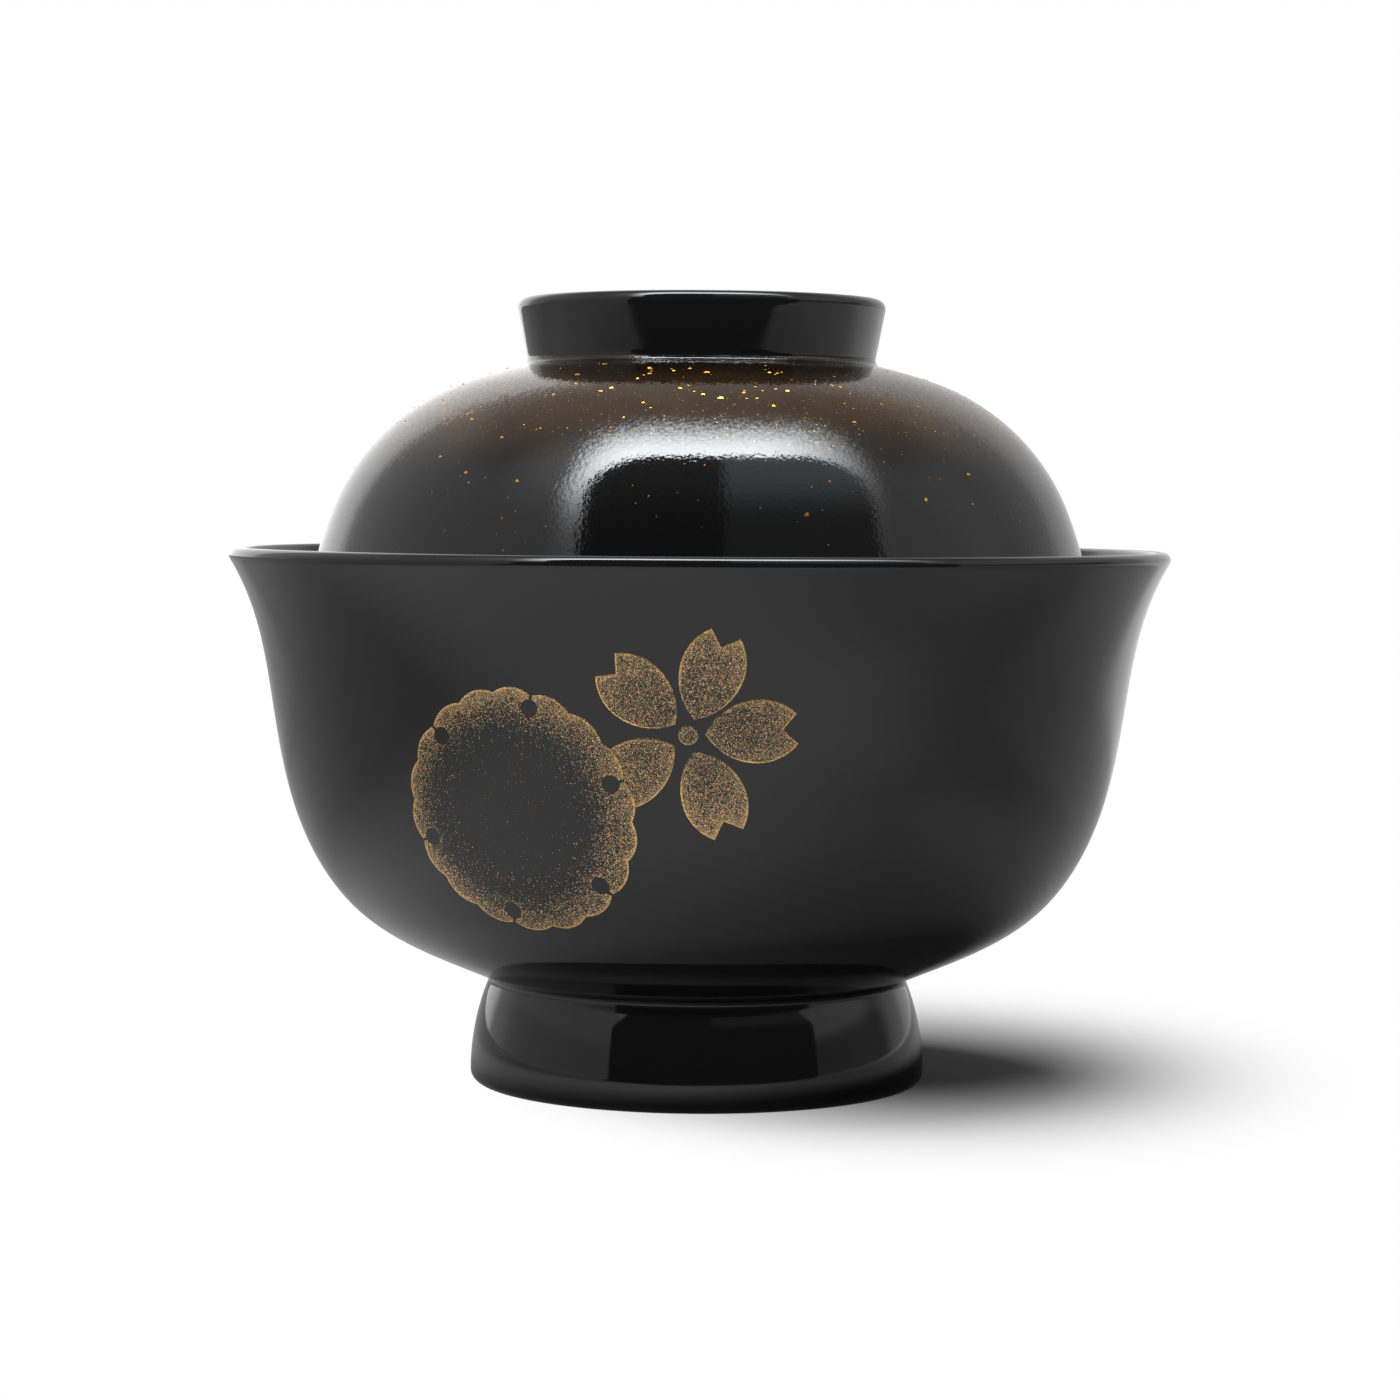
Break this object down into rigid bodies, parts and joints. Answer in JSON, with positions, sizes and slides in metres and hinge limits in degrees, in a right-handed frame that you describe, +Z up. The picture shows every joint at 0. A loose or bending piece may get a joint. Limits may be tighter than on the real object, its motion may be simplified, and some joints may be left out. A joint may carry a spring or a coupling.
{
  "type": "lidded soup bowl",
  "caption": "Round black lacquered wooden soup bowl with a flared rim, a ring foot, a loose domed lid with a ring knob, and a gold snow ring and cherry blossom on the wall.",
  "frame": {"origin": "centre of the standing ring, on the surface the bowl stands on", "axes": "+Z up along the turning axis, -Y towards the side with the gold figures, +X to the right as seen from there"},
  "size_m": [0.12, 0.12, 0.1003],
  "materials": {
    "wood": "turned, sealed",
    "black_lacquer": "polished black lacquer",
    "lid_lacquer": "polished black lacquer strewn with gold flakes",
    "gold": "sprinkled gold powder"
  },
  "bodies": {
    "bowl": {"bowl_core": "wood", "bowl_outer_coat": "black_lacquer", "bowl_inner_coat": "black_lacquer", "foot_recess_coat": "black_lacquer", "snow_ring_gold": "gold", "cherry_blossom_gold": "gold"},
    "lid": {"lid_core": "wood", "lid_outer_coat": "lid_lacquer", "knob_recess_coat": "black_lacquer", "lid_inner_coat": "black_lacquer"}
  },
  "joints": [
    {"name": "lid_lift", "type": "slide", "parent": "bowl", "child": "lid", "axis": [0, 0, 1], "range_m": [0, 0.1]}
  ]
}
